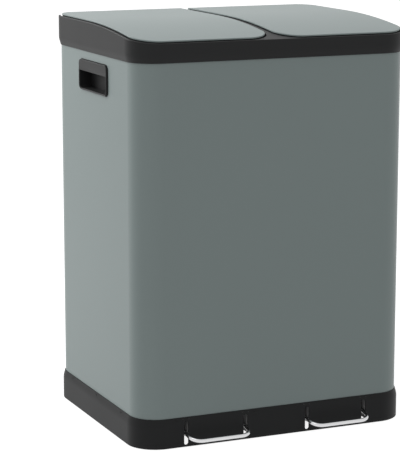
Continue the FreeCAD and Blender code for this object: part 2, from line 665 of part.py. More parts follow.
def make_collar():
    """The moulded collar: rim, ledge and divider for the lids, bucket openings and a shelf for the linkage."""
    block = curved_tool("collar_block", casing("0"), "0 - side", "side",
                        lid_profile("0 - face", "face", "rim_drop",
                                    flat_bottom("0 - face", "face", "collar_bottom")))
    slope_shoulder(block, "collar_bottom", "collar_bottom + shoulder_rise")
    blend(block, round_the_top("rim_drop"), "rim_rounding")
    sheet_room = new_body("collar_sheet_room")
    add(sheet_room, "XY", "collar_bottom - 1", "sheet_top", casing("lip"))
    hollow = curved_tool("collar_hollow", casing("collar_wall"), "0 - side", "side",
                         lid_profile("0 - face", "face", "ledge_drop + ledge_wall",
                                     flat_bottom("0 - face", "face", "sheet_top - 1")))
    recess_plan = lid_plan("0 - lid_gap", "back_recess_corner")
    recess = curved_tool("collar_recess", recess_plan, "0 - side", "0",
                         lid_profile("0 - face", "face", "0 - rim_drop", "ledge_drop"))
    well = new_body("collar_well")
    add(well, "XY", "shelf_top - shelf_wall", "height + rim_drop", recess_plan)
    cut(well, "XY", "0", "2 * height", rectangle("0 - side", "0 - face", "0", "mech_front"))
    back_rim = new_body("collar_back_rim")
    start, low = "hinge_y - back_rim_start", "height - back_rim_drop"
    add(back_rim, "YZ", "0 - side - 1", "side + 1",
        [(start, low), ("face + 1", low), ("face + 1", "height + 1"), (f"{start} - back_rim_drop - 1", "height + 1")])
    walls = carve("collar_walls", block, sheet_room, hollow, recess, mirrored(recess, "collar_recess_right"),
                  well, mirrored(well, "collar_well_right"), back_rim)
    skirt = curved_tool("collar_skirt", opening("skirt_wall"), "0 - side", "0",
                        lid_profile("0 - face", "face", "ledge_drop + ledge_wall / 2",
                                    flat_bottom("0 - face", "face", "skirt_bottom")))
    inside = make_collar_inside()
    whole = join("collar_whole", walls, skirt, mirrored(skirt, "collar_skirt_right"), inside,
                 mirrored(inside, "collar_inside_right"))
    holes = make_collar_holes()
    keep(carve("collar", whole, holes, mirrored(holes, "collar_holes_right")), "collar")


def make_collar_inside():
    """Left half of the shelf behind the buckets, with hinge ears and screw bosses."""
    body = new_body("collar_inside")
    mid_wall = "rim_wall / 2"
    add(body, "XY", "shelf_top - shelf_wall", "shelf_top", casing(mid_wall))
    front = "mech_front - skirt_wall"
    cut(body, "XY", "shelf_top - shelf_wall", "shelf_top",
        [("0 - side", "0 - face"), ("side", "0 - face"), ("side", "face"), ("0", "face"), ("0", front),
         ("0 - side", front)])
    ledge_mid = "height - ledge_drop - ledge_wall / 2"
    add(body, "XY", "shelf_top - shelf_wall", ledge_mid,
        rectangle(f"{mid_wall} - side", "mech_front - skirt_wall", "0", "mech_front"))
    add(body, "XY", "shelf_top - shelf_wall", ledge_mid,
        rectangle("0 - divider / 2", "mech_front - skirt_wall", "0", f"face - {mid_wall}"))
    for low, high in ear_spans():
        add(body, "YZ", low, high, Circle("hinge_y", "hinge_z", "ear_radius"))
        foot, under = "shelf_top - shelf_wall / 2", "hinge_z - ear_radius"
        add(body, "YZ", low, high,
            [("hinge_y - ear_back - ear_leg", foot), ("hinge_y - ear_back", foot), ("hinge_y - ear_back", under),
             ("hinge_y", under), ("hinge_y", "hinge_z"), ("hinge_y - ear_back - ear_leg", "hinge_z")])
    add(body, "XY", "shelf_top - shelf_wall / 2", "shelf_top + screw_boss_height",
        *[Circle(x, "rod_y", "screw_radius + screw_boss_wall") for x in SCREWS])
    return body


def ear_spans():
    """Places along X of the left-hand hinge ears, two to a barrel."""
    spans = []
    for centre in HINGES:
        for way in (-1, 1):
            near = f"({centre} + {way} * (barrel_length / 2 + barrel_play))"
            far = f"({near} + {way} * hinge_ear)"
            spans.append((far, near) if way < 0 else (near, far))
    return spans


def make_collar_holes():
    """What goes through the left half of the collar: the bucket's opening, the linkage's slot, pins and screws."""
    body = new_body("collar_holes")
    add(body, "XY", "skirt_bottom - 1", "height", opening("0"))
    slot_half = "(tongue / 2 + cheek_gap + lug_wall + slot_play)"
    add(body, "XY", "shelf_top - shelf_wall - 1", "shelf_top + 1",
        rectangle(f"0 - pedal_centre - {slot_half}", "mech_front", f"{slot_half} - pedal_centre",
                  "rod_y + top_eye_half_length + slot_play"))
    add(body, "XY", "shelf_top - shelf_wall - 1", "shelf_top + screw_boss_height - screw_boss_roof",
        *[Circle(x, "rod_y", "screw_radius + slip") for x in SCREWS])
    for low, high in ear_spans():
        add(body, "YZ", low, high, Circle("hinge_y", "hinge_z", "hinge_pin_radius + slip"))
    return body


# ---------------------------------------------------------------------------- lids

def lid_solid(name, inset, bottom):
    """What lies inside the left lid's surface, set in all over, down to the given bottom corners."""
    radius = f"(hinge_drop - ({inset}))"
    front, back = f"({inset}) - lid_face", f"lid_face - ({inset})"
    profile = bottom + [(back, "hinge_z", "arc", "hinge_y", "hinge_z", 1), ("hinge_y", f"hinge_z + {radius}"),
                        ("bend_y", f"height - ({inset})", "arc", "bend_y", "height - lid_radius", 1),
                        (front, lid_z(front, inset))]
    return curved_tool(name, lid_plan(inset), "0 - side", "0", profile)


def make_lid_panels():
    """The painted lid skins, rounded along their edges and rolled down round the hinge at the back."""
    step, front = "hinge_y - barrel_radius", "0 - lid_face"
    outside = curved_tool("lid_panel_outside", lid_plan("0"), "0 - side", "0", [
        (front, lid_z(front, "panel_edge"), "arc", "bend_y", "height - lid_radius", -1),
        ("bend_y", "height - panel_edge"), (step, "height - panel_edge"), (step, "hinge_z"),
        ("lid_face", "hinge_z"), ("lid_face", "height"),
        ("bend_y", "height", "arc", "bend_y", "height - lid_radius", 1), (front, lid_z(front, "0"))])
    blend(outside, round_the_top("0"), "panel")
    cut(outside, "YZ", "0 - side", "0", [
        ("hinge_y", "height", "arc", "hinge_y - roll_ease", "hinge_z - roll_ease", -1), ("lid_face", "hinge_z"),
        ("lid_face + 1", "hinge_z"), ("lid_face + 1", "height + 1"), ("hinge_y", "height + 1")])
    inside = lid_solid("lid_panel_inside", "panel",
                       [("panel - lid_face", "height / 2"), ("lid_face - panel", "height / 2")])
    keep_pair(carve("lid_panel_left", outside, inside), "lid_panel")


def make_lid_frames():
    """The moulded lid bodies under the skins: a ribbed shell with hinge barrels and a lifting lug."""
    outer = "(panel + frame_gap)"
    inner = f"({outer} + frame_wall)"
    rest = "(ledge_drop - seat_gap)"

    def bottom(inset, drop):
        front, back = f"({inset}) - lid_face", f"lid_face - ({inset})"
        return [(front, lid_z(front, drop), "arc", "bend_y", "height - lid_radius", -1),
                ("bend_y", f"height - ({drop})"), (back, f"height - ({drop})")]

    shell = carve("lid_frame_shell", lid_solid("lid_frame_outside", outer, bottom(outer, rest)),
                  lid_solid("lid_frame_inside", inner, bottom(inner, "height / 2")))
    fittings = make_lid_fittings(f"({inner} - frame_wall / 2)")
    bores = new_body("lid_frame_bores")
    for low, high in barrel_spans():
        add(bores, "YZ", f"{low} - 1", f"{high} + 1", Circle("hinge_y", "hinge_z", "hinge_pin_radius + slip"))
    add(bores, "YZ", "0 - pedal_centre - lug_half - 1", "1 + lug_half - pedal_centre",
        Circle("lift_pin_y", "lift_pin_z", "pin_radius + slip"))
    whole = join("lid_frame_whole", shell, fittings)
    keep_pair(carve("lid_frame_left", whole, bores), "lid_frame")


def barrel_spans():
    """Places along X of the left-hand hinge barrels."""
    return [(f"({centre} - barrel_length / 2)", f"({centre} + barrel_length / 2)") for centre in HINGES]


def make_lid_fittings(root):
    """Ribs, hinge barrels and the lifting lug's cheeks of the left lid, rooted at a drop inside its top wall."""
    body = new_body("lid_frame_fittings")
    deep = "(panel + frame_gap + frame_wall + lid_rib_depth)"
    front, back = f"({root}) - lid_face", "mech_front"
    for x in ("rib_first", "rib_second", "rib_third"):
        add(body, "YZ", f"0 - {x} - lid_rib / 2", f"lid_rib / 2 - {x}", lid_profile(front, back, root, deep))
    for row in range(-2, 3):
        y = f"({row} * lid_rib_pitch)"
        add(body, "XZ", f"{y} - lid_rib / 2", f"{y} + lid_rib / 2",
            rectangle(f"({root}) - lid_side", lid_z(y, deep), f"0 - lid_middle - ({root})", lid_z(y, root)))
    for low, high in barrel_spans():
        add(body, "YZ", low, high,
            [("hinge_y - barrel_radius", "hinge_z", "arc", "hinge_y", "hinge_z", 1),
             ("hinge_y + barrel_radius", "hinge_z"), ("hinge_y + barrel_radius / 2", f"height - ({root})"),
             ("hinge_y - barrel_radius", f"height - ({root})")])
    eye = "(pin_radius + eye_wall)"
    cheek = [(f"lift_pin_y - {eye}", "lift_pin_z", "arc", "lift_pin_y", "lift_pin_z", 1),
             (f"lift_pin_y + {eye}", "lift_pin_z"), ("hinge_y - barrel_radius", f"height - ({root})"),
             ("hinge_y - lug_front", f"height - ({root})")]
    for low, high in (("0 - lug_half", "lug_wall - lug_half"), ("lug_half - lug_wall", "lug_half")):
        add(body, "YZ", f"{low} - pedal_centre", f"{high} - pedal_centre", cheek)
    return body


def make_pins():
    """Steel pins: two to a lid in its hinges, one through its lug and one through its lever."""
    reach = "(barrel_length / 2 + barrel_play + hinge_ear)"
    hinge = new_body("hinge_pins_left")
    for centre in HINGES:
        add(hinge, "YZ", f"{centre} - {reach}", f"{centre} + {reach}", Circle("hinge_y", "hinge_z", "hinge_pin_radius"))
    keep_pair(hinge, "hinge_pins")
    lift = new_body("lift_pin_left")
    add(lift, "YZ", "0 - pedal_centre - lug_half", "lug_half - pedal_centre",
        Circle("lift_pin_y", "lift_pin_z", "pin_radius"))
    keep_pair(lift, "lift_pin")
    foot = new_body("lever_pin_left")
    add(foot, "YZ", "0 - pedal_centre - lever_width / 2", "lever_width / 2 - pedal_centre",
        Circle("foot_pin_y", "foot_pin_z", "pin_radius"))
    keep_pair(foot, "lever_pin")


# ---------------------------------------------------------------------------- pedals and linkage

def bent_wire(corners, radii):
    """A path through corners with an arc at each inner one."""
    edges = []
    start = corners[0]
    for before, corner, after, radius in zip(corners, corners[1:], corners[2:], radii):
        back, ahead = (before - corner).normalize(), (after - corner).normalize()
        half = back.getAngle(ahead) / 2
        enter = corner + back * (radius / math.tan(half))
        leave = corner + ahead * (radius / math.tan(half))
        middle = (back + ahead).normalize()
        centre = corner + middle * (radius / math.sin(half))
        edges.append(Part.LineSegment(start, enter).toShape())
        edges.append(Part.Arc(enter, centre - middle * radius, leave).toShape())
        start = leave
    edges.append(Part.LineSegment(start, corners[-1]).toShape())
    return Part.Wire(edges)


def make_pedals():
    """The pedals: one bent steel wire each, from the lever forward, down and across."""
    half, centre = value("pedal_half"), -value("pedal_centre")
    end_y = value("pivot_y - axle_boss_radius")
    knee_y, bar_y = value("knee_depth - face"), value("wire_radius - face - pedal_reach")
    arm_z, bar_z = value("axle_z"), value("pedal_bar_z")
    left = [Vector(centre - half, end_y, arm_z), Vector(centre - half, knee_y, arm_z),
            Vector(centre - half, bar_y, bar_z)]
    right = [Vector(2 * centre - p.x, p.y, p.z) for p in reversed(left)]
    bends = [value("knee_bend"), value("pedal_bend"), value("pedal_bend"), value("knee_bend")]
    path = bent_wire(left + right, bends)
    section = Part.Wire(Part.Circle(left[0], Vector(0, 1, 0), value("wire_radius")).toShape())
    pedal = doc.addObject("Part::Feature", "pedal_left")
    pedal.Shape = path.makePipeShell([section], True, False)
    keep_pair(pedal, "pedal")


def make_levers():
    """The moulded levers: a hub on the axle, two sockets for the pedal's wire and an I-shaped arm to the rod."""
    body = new_body("lever_left")
    hub_end = "(rib_wall / 2 + axle_boss_length + cheek_gap)"
    add(body, "YZ", f"{hub_end} - rib_outer", f"0 - rib_inner - {hub_end}",
        Circle("pivot_y", "axle_z", "axle_boss_radius"))
    socket_end = "pivot_y - axle_boss_radius - socket_depth"
    for x in ARMS[:2]:
        add(body, "XZ", socket_end, "pivot_y - axle_radius - socket_rear",
            rectangle(f"{x} - socket_size / 2", "axle_z - socket_size / 2", f"{x} + socket_size / 2",
                      "axle_z + socket_size / 2", "socket_rounding"))
    eye = "(pin_radius + eye_wall)"
    add(body, "YZ", "0 - pedal_centre - lever_width / 2", "lever_width / 2 - pedal_centre",
        [("pivot_y", "axle_z - axle_boss_radius"),
         ("foot_pin_y", f"foot_pin_z - {eye}", "arc", "foot_pin_y", "foot_pin_z", 1),
         ("foot_pin_y", f"foot_pin_z + {eye}"), ("pivot_y", "axle_z + axle_boss_radius")])
    start = "(pivot_y + axle_boss_radius + lever_pocket_start)"
    end = "(foot_pin_y - foot_eye_half_length - lever_pocket_end)"
    flange = "(lever_flange + seat_gap)"
    pocket = [(start, f"{arm_z(start)} - axle_boss_radius + {flange}"),
              (end, f"{arm_z(end)} - {eye} + lever_flange"), (end, f"{arm_z(end)} + {eye} - lever_flange"),
              (start, f"{arm_z(start)} + axle_boss_radius - {flange}")]
    cut(body, "YZ", "0 - pedal_centre - lever_width / 2", "0 - pedal_centre - lever_web / 2", pocket)
    cut(body, "YZ", "lever_web / 2 - pedal_centre", "lever_width / 2 - pedal_centre", pocket)
    cut(body, "XY", "0", "height / 2",
        rectangle("0 - pedal_centre - tongue / 2 - cheek_gap", "foot_pin_y - foot_eye_half_length - slot_play",
                  "tongue / 2 + cheek_gap - pedal_centre", "face"))
    cut(body, "XZ", socket_end, "pivot_y - axle_boss_radius",
        *[Circle(x, "axle_z", "wire_radius + slip") for x in ARMS[:2]])
    cut(body, "YZ", "0 - side", "0", Circle("pivot_y", "axle_z", "axle_radius + slip"))
    cut(body, "YZ", "0 - side", "0", Circle("foot_pin_y", "foot_pin_z", "pin_radius + slip"))
    keep_pair(body, "lever")


def arm_z(y):
    """Height of the lever arm's centre line at y."""
    return f"(axle_z + ({y} - pivot_y) * (foot_pin_z - axle_z) / (foot_pin_y - pivot_y))"


def make_axles():
    """The lever axles, with a push-on washer at each end."""
    axle = new_body("axle_left")
    add(axle, "YZ", "0 - rib_outer - axle_overhang", "axle_overhang - rib_inner",
        Circle("pivot_y", "axle_z", "axle_radius"))
    keep_pair(axle, "axle")
    clips = new_body("axle_clips")
    boss = "(rib_wall / 2 + axle_boss_length + seat_gap)"
    far, near = f"(rib_outer + {boss})", f"(rib_inner - {boss})"
    for low, high in ((far, f"{far} + clip_wall"), (f"{near} - clip_wall", near),
                      (f"0 - {near}", f"clip_wall - {near}"), (f"0 - {far} - clip_wall", f"0 - {far}")):
        add(clips, "YZ", low, high, Circle("pivot_y", "axle_z", "clip_radius"),
            Circle("pivot_y", "axle_z", "axle_radius"))
    keep(clips, "axle_clips")


def make_push_rods():
    """The push rods: a round bar with a flat slotted eye at each end."""
    body = new_body("push_rod_left")
    add(body, "XY", "foot_pin_z + foot_eye_half_height - rod_root", "lift_pin_z - top_eye_half_height + rod_root",
        Circle("0 - pedal_centre", "rod_y", "rod_radius"))
    for z, length, tall in (("foot_pin_z", "foot_eye_half_length", "foot_eye_half_height"),
                            ("lift_pin_z", "top_eye_half_length", "top_eye_half_height")):
        add(body, "YZ", "0 - pedal_centre - tongue / 2", "tongue / 2 - pedal_centre",
            rectangle(f"rod_y - {length}", f"{z} - {tall}", f"rod_y + {length}", f"{z} + {tall}", "eye_rounding"))
    foot_half = "(pin_radius + lever_reach * (1 - cos(pedal_swing / 2)) / 2 + slot_play / 2)"
    top_half = "(pin_radius + lug_reach * (1 - cos(lid_swing / 2)) / 2 + slot_play / 2)"
    cut(body, "YZ", "0 - side", "0",
        level_slot("rod_y", "foot_pin_z", foot_half, "(pin_radius + eye_play)"),
        level_slot("rod_y", "lift_pin_z", top_half, "(pin_radius + lift_play)"))
    keep_pair(body, "push_rod")


def make_guides():
    """The rod guides under the shelf, and the screws that hold them."""
    body = new_body("rod_guide_left")
    top = "(shelf_top - shelf_wall - seat_gap)"
    add(body, "XY", f"{top} - guide_flange_wall", top,
        rectangle("0 - pedal_centre - guide_flange_x / 2", "rod_y - guide_flange_y / 2",
                  "guide_flange_x / 2 - pedal_centre", "rod_y + guide_flange_y / 2", "guide_flange_rounding"))
    add(body, "XY", f"{top} - guide_flange_wall - guide_length", f"{top} - guide_flange_wall / 2",
        Circle("0 - pedal_centre", "rod_y", "rod_radius + guide_play + guide_wall"))
    cut(body, "XY", "height / 2", "height", Circle("0 - pedal_centre", "rod_y", "rod_radius + guide_play"))
    cut(body, "XY", "height / 2", "height", *[Circle(x, "rod_y", "screw_radius + slip") for x in SCREWS])
    keep_pair(body, "rod_guide")
    screws = new_body("guide_screws")
    places = [*SCREWS, *[f"0 - ({x})" for x in SCREWS]]
    under = f"({top} - guide_flange_wall)"
    add(screws, "XY", f"{under} - screw_head_height", under,
        *[Circle(x, "rod_y", "screw_head_radius") for x in places])
    add(screws, "XY", f"{under} - screw_head_height / 2", "shelf_top + screw_boss_height - screw_boss_roof - screw_end_gap",
        *[Circle(x, "rod_y", "screw_radius") for x in places])
    keep(screws, "guide_screws")


# ---------------------------------------------------------------------------- buckets

def bucket_plan(inset, taper):
    """The left bucket's outline in plan: its walls' outside at the rim, set in and tapered."""
    edge = f"(0 - bucket_play - bucket_lip - ({inset}) - ({taper}))"
    corners = opening(edge)
    radius = f"bucket_radius - ({inset}) - ({taper}) / 2"
    return [(x, y, radius) for x, y, _ in corners]


def make_buckets():
    """The inner buckets: tapered, with a turned-down rim and hand holes front and back."""
    body = new_body("bucket_left")
    bottom = "floor_top + seat_gap"
    for kind, inset, foot in (("AdditiveLoft", "0", bottom), ("SubtractiveLoft", "bucket_wall",
                                                            f"{bottom} + bucket_wall")):
        low = new_sketch(body, "XY", foot)
        draw(low, bucket_plan(inset, "bucket_taper"))
        high = new_sketch(body, "XY", "bucket_top")
        draw(high, bucket_plan(inset, "0"))
        loft = body.newObject("PartDesign::" + kind, "bucket_" + kind.lower())
        loft.Profile = low
        loft.Sections = [high]
    lip = "(0 - bucket_lip)"
    add(body, "XY", "bucket_top - bucket_lip_wall", "bucket_top", bucket_plan(lip, "0"),
        bucket_plan("bucket_wall / 2", "0"))
    add(body, "XY", "bucket_top - bucket_lip_depth", "bucket_top - bucket_lip_wall", bucket_plan(lip, "0"),
        bucket_plan("0 - bucket_lip / 2", "0"))
    blend(body, in_plane("Z", "bucket_top"), "bucket_rounding")
    middle = "((opening_side - side - opening_middle) / 2)"
    top = "(bucket_top - hand_hole_drop)"
    cut(body, "XZ", "0 - face", "face",
        rectangle(f"{middle} - hand_hole_length / 2", f"{top} - hand_hole_height",
                  f"{middle} + hand_hole_length / 2", top, "hand_hole_rounding"))
    keep_pair(body, "bucket")


# ---------------------------------------------------------------------------- the whole bin

def check():
    """Stops on any object that failed, and on any piece that isn't whole."""
    doc.recompute()
    for item in doc.Objects:
        if "Invalid" in item.State or "Error" in item.State:
            raise RuntimeError(f"{item.Name}: {item.State}")
    for piece in SUBPARTS:
        if piece.Shape.isNull() or not piece.Shape.isValid():
            raise RuntimeError(f"{piece.Label}: its shape isn't valid")


def export():
    """Writes each piece to its own file."""
    os.makedirs("parts", exist_ok=True)
    for piece in SUBPARTS:
        piece.Shape.exportStep(f"parts/{piece.Label}.step")
        box = piece.Shape.BoundBox
        print(f"{piece.Label:18} solids {len(piece.Shape.Solids)} volume {piece.Shape.Volume:12.1f}"
              f" x {box.XMin:8.2f} {box.XMax:8.2f} y {box.YMin:8.2f} {box.YMax:8.2f}"
              f" z {box.ZMin:8.2f} {box.ZMax:8.2f}")


make_base()
make_feet()
make_body_shell()
make_grips()
make_collar()
make_lid_panels()
make_lid_frames()
make_pins()
make_pedals()
make_levers()
make_axles()
make_push_rods()
make_guides()
make_buckets()
check()
export()
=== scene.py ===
"""Dresses the double recycling bin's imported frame, and sets its floor, lamps and camera.

Lengths are in metres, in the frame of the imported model: +X to the right seen from the front, +Y to the
back, +Z up, and the floor at Z = 0.
"""

import logging
import math
from dataclasses import dataclass, field
from enum import Enum
from typing import Iterable, Sequence

import bpy
import bmesh
from mathutils import Euler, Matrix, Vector


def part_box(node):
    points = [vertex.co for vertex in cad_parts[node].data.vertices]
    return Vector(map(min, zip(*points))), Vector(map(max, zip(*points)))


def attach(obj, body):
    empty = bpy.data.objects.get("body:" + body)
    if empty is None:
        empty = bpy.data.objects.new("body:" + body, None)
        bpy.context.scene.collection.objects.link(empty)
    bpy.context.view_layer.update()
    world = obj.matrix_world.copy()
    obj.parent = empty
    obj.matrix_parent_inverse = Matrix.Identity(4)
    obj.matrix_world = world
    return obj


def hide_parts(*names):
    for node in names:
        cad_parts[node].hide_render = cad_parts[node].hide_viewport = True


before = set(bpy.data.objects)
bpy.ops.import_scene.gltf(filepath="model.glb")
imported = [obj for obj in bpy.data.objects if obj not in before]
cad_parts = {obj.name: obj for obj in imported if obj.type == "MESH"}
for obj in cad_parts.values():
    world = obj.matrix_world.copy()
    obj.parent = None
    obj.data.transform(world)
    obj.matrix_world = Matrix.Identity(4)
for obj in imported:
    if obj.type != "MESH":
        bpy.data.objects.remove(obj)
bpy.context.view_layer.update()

log = logging.getLogger("recycling_bin")
Triple = tuple[float, float, float]
Colour = Triple
Place = Triple
WHITE = (1.0, 1.0, 1.0, 1.0)
TINY = 1e-6


class Side(Enum):
    """The bin's two halves, each with the sign of its X."""

    LEFT = -1.0
    RIGHT = 1.0

    @property
    def word(self) -> str:
        """The half's name as the CAD nodes spell it."""
        return self.name.lower()


# ---------------------------------------------------------------------------- shader nodes

class Term:
    """A shader socket that takes part in Python arithmetic."""

    def __init__(self, nodes: "NodeBook", socket: bpy.types.NodeSocket | None) -> None:
        """Wraps a socket of that material.

        Args:
            nodes: The material's nodes.
            socket: The output socket; a closing node has none.
        """
        self.nodes = nodes
        self.socket = socket

    def _maths(self, operation: str, first: "Term | float", second: "Term | float") -> "Term":
        """Adds one Math node.

        Args:
            operation: The node's operation.
            first: Its first value.
            second: Its second value.

        Returns:
            The node's result.
        """
        return self.nodes.add("ShaderNodeMath", {"operation": operation}, {0: first, 1: second})

    def __add__(self, other: "Term | float") -> "Term":
        """The sum."""
        return self._maths("ADD", self, other)

    __radd__ = __add__

    def __sub__(self, other: "Term | float") -> "Term":
        """The difference."""
        return self._maths("SUBTRACT", self, other)

    def __rsub__(self, other: float) -> "Term":
        """The difference, taken from a number."""
        return self._maths("SUBTRACT", other, self)

    def __mul__(self, other: "Term | float") -> "Term":
        """The product."""
        return self._maths("MULTIPLY", self, other)

    __rmul__ = __mul__


class NodeBook:
    """The nodes of one material or of the world."""

    def __init__(self, tree: bpy.types.NodeTree) -> None:
        """Empties the tree.

        Args:
            tree: The node tree to fill.
        """
        self.tree = tree
        tree.nodes.clear()

    def add(self, kind: str, settings: dict[str, object] | None = None,
            inputs: dict[int | str, object] | None = None, output: int | str = 0) -> Term:
        """Adds a node.

        Args:
            kind: The node's type.
            settings: Properties that are set first.
            inputs: Values or links of its sockets.
            output: The socket to hand on.

        Returns:
            That output as a term.
        """
        node = self.tree.nodes.new(kind)
        for name, setting in (settings or {}).items():
            setattr(node, name, setting)
        for name, given in (inputs or {}).items():
            if isinstance(given, Term):
                self.tree.links.new(given.socket, node.inputs[name])
            else:
                node.inputs[name].default_value = given
        return Term(self, node.outputs[output]) if node.outputs else Term(self, None)

    def place(self) -> Term:
        """Object coordinates."""
        return self.add("ShaderNodeTexCoord", output="Object")

    def noise(self, size: float, detail: float = 2.0, stretch: Triple = (1.0, 1.0, 1.0)) -> Term:
        """A noise in the object's coordinates.

        Args:
            size: The width of its features.
            detail: How many finer layers it has.
            stretch: How it is squeezed along each axis.

        Returns:
            The noise, about 0.5.
        """
        place = self.add("ShaderNodeMapping", inputs={"Vector": self.place(), "Scale": stretch})
        return self.add("ShaderNodeTexNoise", inputs={"Vector": place, "Scale": 1.0 / size, "Detail": detail},
                        output="Fac")

    def mixed(self, share: Term, dark: Colour, light: Colour) -> Term:
        """A colour between two others.

        Args:
            share: How much there is of the second one.
            dark: The first colour.
            light: The second colour.

        Returns:
            The mixed colour.
        """
        # On this node, sockets 6 and 7 take the colours, and output 2 gives their mix.
        return self.add("ShaderNodeMix", {"data_type": "RGBA"}, {"Factor": share, 6: (*dark, 1.0), 7: (*light, 1.0)},
                        output=2)

    def bump(self, height: Term, depth: float) -> Term:
        """A normal from a height.

        Args:
            height: The height, from 0 to 1.
            depth: What a height of 1 stands for.

        Returns:
            The normal.
        """
        return self.add("ShaderNodeBump", inputs={"Height": height, "Distance": depth, "Strength": 1.0},
                        output="Normal")


# ---------------------------------------------------------------------------- finishes

@dataclass(frozen=True)
class Finish:
    """A surface finish.

    Attributes:
        name: Name of its material.
        colour: Linear base colour.
        roughness: Its middle roughness.
        metallic: 1 for bare metal.
        specular: Specular level, 0.5 for common plastics.
        mottle: How much the colour varies, as a share.
        mottle_size: Width of those patches.
        gloss_spread: How much the roughness varies.
        grain: Width of the surface's grain.
        grain_depth: Depth of that grain.
        grain_stretch: How the grain is squeezed along each axis.
    """

    name: str
    colour: Colour
    roughness: float
    metallic: float = 0.0
    specular: float = 0.5
    mottle: float = 0.03
    mottle_size: float = 0.12
    gloss_spread: float = 0.06
    grain: float = 0.0012
    grain_depth: float = 0.00002
    grain_stretch: Triple = (1.0, 1.0, 1.0)

    def tinted(self, factor: float) -> Colour:
        """The base colour times a factor."""
        return tuple(min(1.0, channel * factor) for channel in self.colour)

    def make(self) -> bpy.types.Material:
        """Builds the material.

        Returns:
            The new material.
        """
        material = bpy.data.materials.new(self.name)
        material.use_nodes = True
        nodes = NodeBook(material.node_tree)
        patches = nodes.noise(self.mottle_size)
        fine = nodes.noise(self.grain, 3.0, self.grain_stretch)
        normal = nodes.bump(fine, self.grain_depth)
        colour = nodes.mixed(patches, self.tinted(1.0 - self.mottle), self.tinted(1.0 + self.mottle))
        shader = nodes.add("ShaderNodeBsdfPrincipled", inputs={
            "Base Color": colour,
            "Roughness": self.roughness + (patches - 0.5) * self.gloss_spread + (fine - 0.5) * self.gloss_spread,
            "Metallic": self.metallic, "Specular IOR Level": self.specular, "Normal": normal})
        nodes.add("ShaderNodeOutputMaterial", inputs={"Surface": shader})
        return material


ENAMEL = Finish("grey_enamel", (0.275, 0.33, 0.325), 0.42, specular=0.3, mottle=0.015, mottle_size=0.2,
                gloss_spread=0.04, grain=0.0009, grain_depth=0.000012)
LID_ENAMEL = Finish("grey_lid_enamel", (0.275, 0.33, 0.325), 0.4, specular=0.3, mottle=0.015,
                    mottle_size=0.15, gloss_spread=0.04, grain=0.0009, grain_depth=0.000012)
MOULDED = Finish("satin_moulding", (0.019, 0.0195, 0.02), 0.46, specular=0.16, mottle=0.04,
                 mottle_size=0.08, grain=0.0007, grain_depth=0.00002)
# The base takes a darker copy of the collar's satin moulding: painted shade that offsets the light the floor bounces
# onto the base.
SHADED_BASE = Finish("base_moulding", (0.0155, 0.016, 0.0165), 0.48, specular=0.13, mottle=0.04,
              mottle_size=0.08, grain=0.0007, grain_depth=0.00002)
# The lid frames take a darker moulding than the collar: painted shade that deepens the gap lines between the lids
# and the collar.
SHADED_LID_FRAME = Finish("lid_frame_moulding", (0.014, 0.0142, 0.0145), 0.5, specular=0.14, mottle=0.06,
               mottle_size=0.04, grain=0.0007, grain_depth=0.00002)
# The slot cheeks take a pale grey instead of the base's black: painted light for the lit grey seen in the upper part
# of each pedal slot.
PAINTED_LIT_CHEEK = Finish("cheek_moulding", (0.42, 0.42, 0.42), 0.55, specular=0.3, mottle=0.05, mottle_size=0.02,
               grain=0.0007, grain_depth=0.00002)
FILLED = Finish("glass_filled_moulding", (0.014, 0.014, 0.014), 0.6, specular=0.3, mottle=0.1,
                mottle_size=0.02, grain=0.0006, grain_depth=0.00004)
BUCKET = Finish("bucket_moulding", (0.024, 0.024, 0.026), 0.4, specular=0.35, mottle=0.04,
                mottle_size=0.1, grain=0.001, grain_depth=0.00002)
CHROME = Finish("chrome_plate", (0.64, 0.64, 0.65), 0.12, metallic=1.0, mottle=0.02, mottle_size=0.02,
                gloss_spread=0.04, grain=0.003, grain_depth=0.000006, grain_stretch=(0.3, 1.0, 1.0))
ZINC = Finish("zinc_plate", (0.58, 0.58, 0.56), 0.32, metallic=1.0, mottle=0.08, mottle_size=0.006,
              gloss_spread=0.12, grain=0.0012, grain_depth=0.00001, grain_stretch=(1.0, 1.0, 0.4))
RUBBER = Finish("foot_rubber", (0.013, 0.013, 0.013), 0.78, specular=0.3, mottle=0.1, mottle_size=0.01,
                grain=0.0008, grain_depth=0.00004)


class Dresser:
    """Gives pieces their finishes, and makes each finish's material once."""

    def __init__(self) -> None:
        """Starts with no material."""
        self.materials: dict[Finish, bpy.types.Material] = {}

    def dress(self, piece: bpy.types.Object, finish: Finish) -> None:
        """Gives a piece its finish.

        Args:
            piece: A CAD node or a new piece.
            finish: The finish that it takes.
        """
        if finish not in self.materials:
            self.materials[finish] = finish.make()
        if not piece.material_slots:
            piece.data.materials.append(None)
        for holder in piece.material_slots:
            holder.link = "OBJECT"
            holder.material = self.materials[finish]


# ---------------------------------------------------------------------------- new pieces

